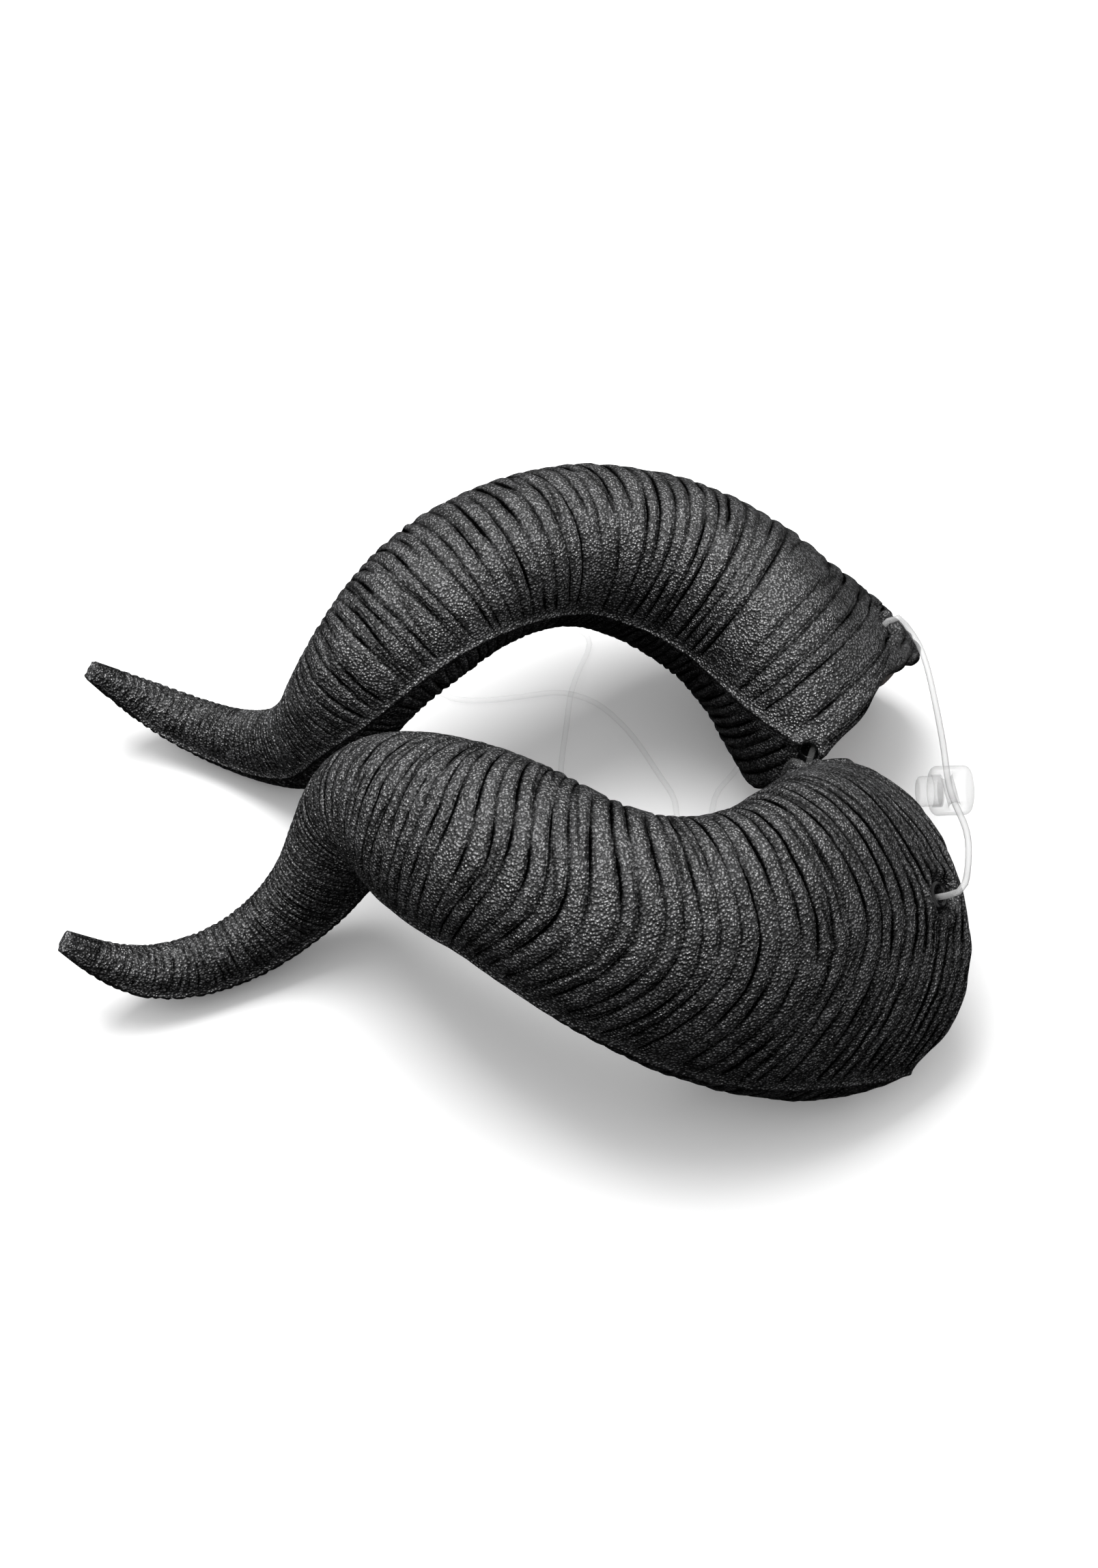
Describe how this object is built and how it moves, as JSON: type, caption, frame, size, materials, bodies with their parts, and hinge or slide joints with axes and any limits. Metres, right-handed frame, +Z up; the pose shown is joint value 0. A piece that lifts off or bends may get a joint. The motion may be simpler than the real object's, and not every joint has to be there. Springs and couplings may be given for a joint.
{
  "type": "costume horns",
  "caption": "Curved, ribbed costume horns of black moulded foam with dished bases, tied together by clear elastic cords with a sliding cord lock.",
  "frame": {"origin": "middle of the two horns' footprint, on the surface they lie on", "axes": "+X from the tips towards the bases, +Y from the near horn towards the far one, +Z up"},
  "size_m": [0.2862, 0.2148, 0.1113],
  "materials": {
    "foam": "satin moulded foam skin",
    "black_metal": "semi-gloss black",
    "clear_plastic": "clear gloss"
  },
  "bodies": {
    "root": {"horn_near": "foam", "horn_far": "foam", "eyelet_near_brow": "black_metal", "eyelet_far_brow": "black_metal", "eyelet_near_chin": "black_metal", "eyelet_far_chin": "black_metal", "cord_lock_body": "clear_plastic", "cord_lock_button": "clear_plastic", "brow_cord": "clear_plastic", "chin_cord": "clear_plastic"}
  },
  "joints": []
}
